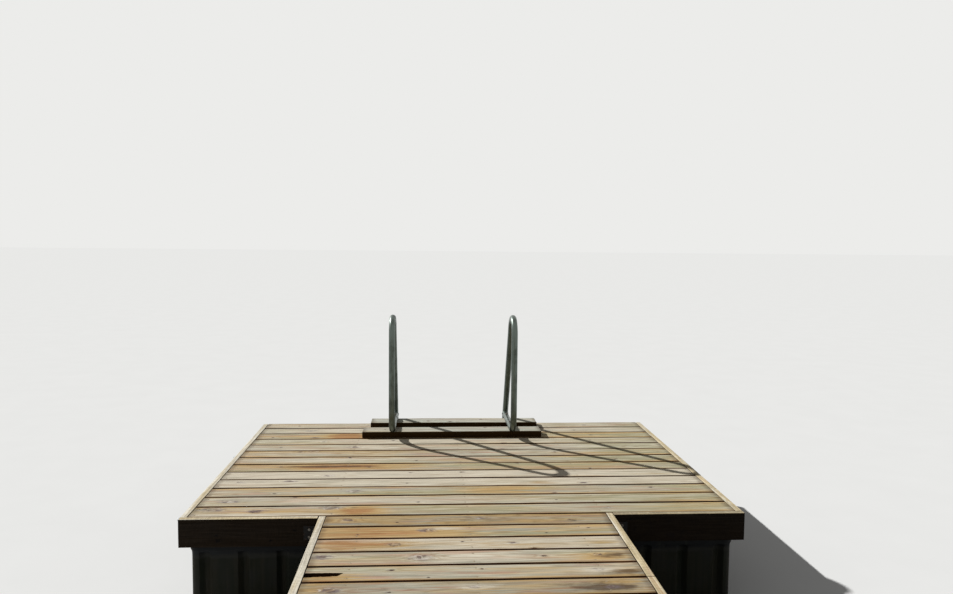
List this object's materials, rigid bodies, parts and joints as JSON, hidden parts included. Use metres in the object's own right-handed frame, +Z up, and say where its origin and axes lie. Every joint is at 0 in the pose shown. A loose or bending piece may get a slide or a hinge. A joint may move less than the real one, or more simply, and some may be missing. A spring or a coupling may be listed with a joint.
{
  "type": "wooden jetty",
  "caption": "Floating wooden bathing jetty: a boarded platform on plastic floats, a boarded gangway in bays to the shore, and a swim ladder with tubular handrails.",
  "frame": {"origin": "under the middle of the jetty's overall box, on the floats' underside", "axes": "+Z up; +Y along the gangway away from the shore, towards the ladder; +X to the right when walking out"},
  "size_m": [2.5158, 5.4036, 1.1529],
  "materials": {
    "deck_timber": "weathered pressure-treated pine, planed, dull, grey-beige with honey streaks",
    "rim_timber": "paler planed pine, edge up, dull",
    "frame_timber": "sawn pressure-treated pine, dull, greenish brown",
    "float_plastic": "moulded polyethylene, matt black-grey",
    "galvanised_steel": "hot-dip galvanised, dull grey",
    "painted_steel": "black bitumen paint, dull, rusty at the edges",
    "plank_timber": "weathered sawn pine, dull",
    "tube_aluminium": "satin, weathered",
    "black_rubber": "matt"
  },
  "bodies": {
    "root": {"platform_boards": "deck_timber", "gangway_boards_1": "deck_timber", "gangway_boards_2": "deck_timber", "gangway_boards_3": "deck_timber", "platform_front_rim": "rim_timber", "platform_back_rim": "rim_timber", "platform_left_rim": "rim_timber", "platform_right_rim": "rim_timber", "gangway_left_rim": "rim_timber", "gangway_right_rim": "rim_timber", "platform_joists": "frame_timber", "platform_front_beam": "frame_timber", "platform_back_beam": "frame_timber", "gangway_joists_1": "frame_timber", "gangway_joists_2": "frame_timber", "gangway_joists_3": "frame_timber", "gangway_cross_beams": "frame_timber", "landing_beam": "frame_timber", "platform_left_float": "float_plastic", "platform_right_float": "float_plastic", "gangway_float_1": "float_plastic", "gangway_float_2": "float_plastic", "gangway_float_3": "float_plastic", "left_mooring_eyes": "galvanised_steel", "right_mooring_eyes": "galvanised_steel", "gangway_brackets": "painted_steel", "ladder_front_plank": "plank_timber", "ladder_rear_plank": "plank_timber", "left_handrail": "tube_aluminium", "right_handrail": "tube_aluminium", "left_ladder_leg": "tube_aluminium", "right_ladder_leg": "tube_aluminium", "ladder_treads": "tube_aluminium", "ladder_end_caps": "black_rubber"}
  },
  "joints": []
}
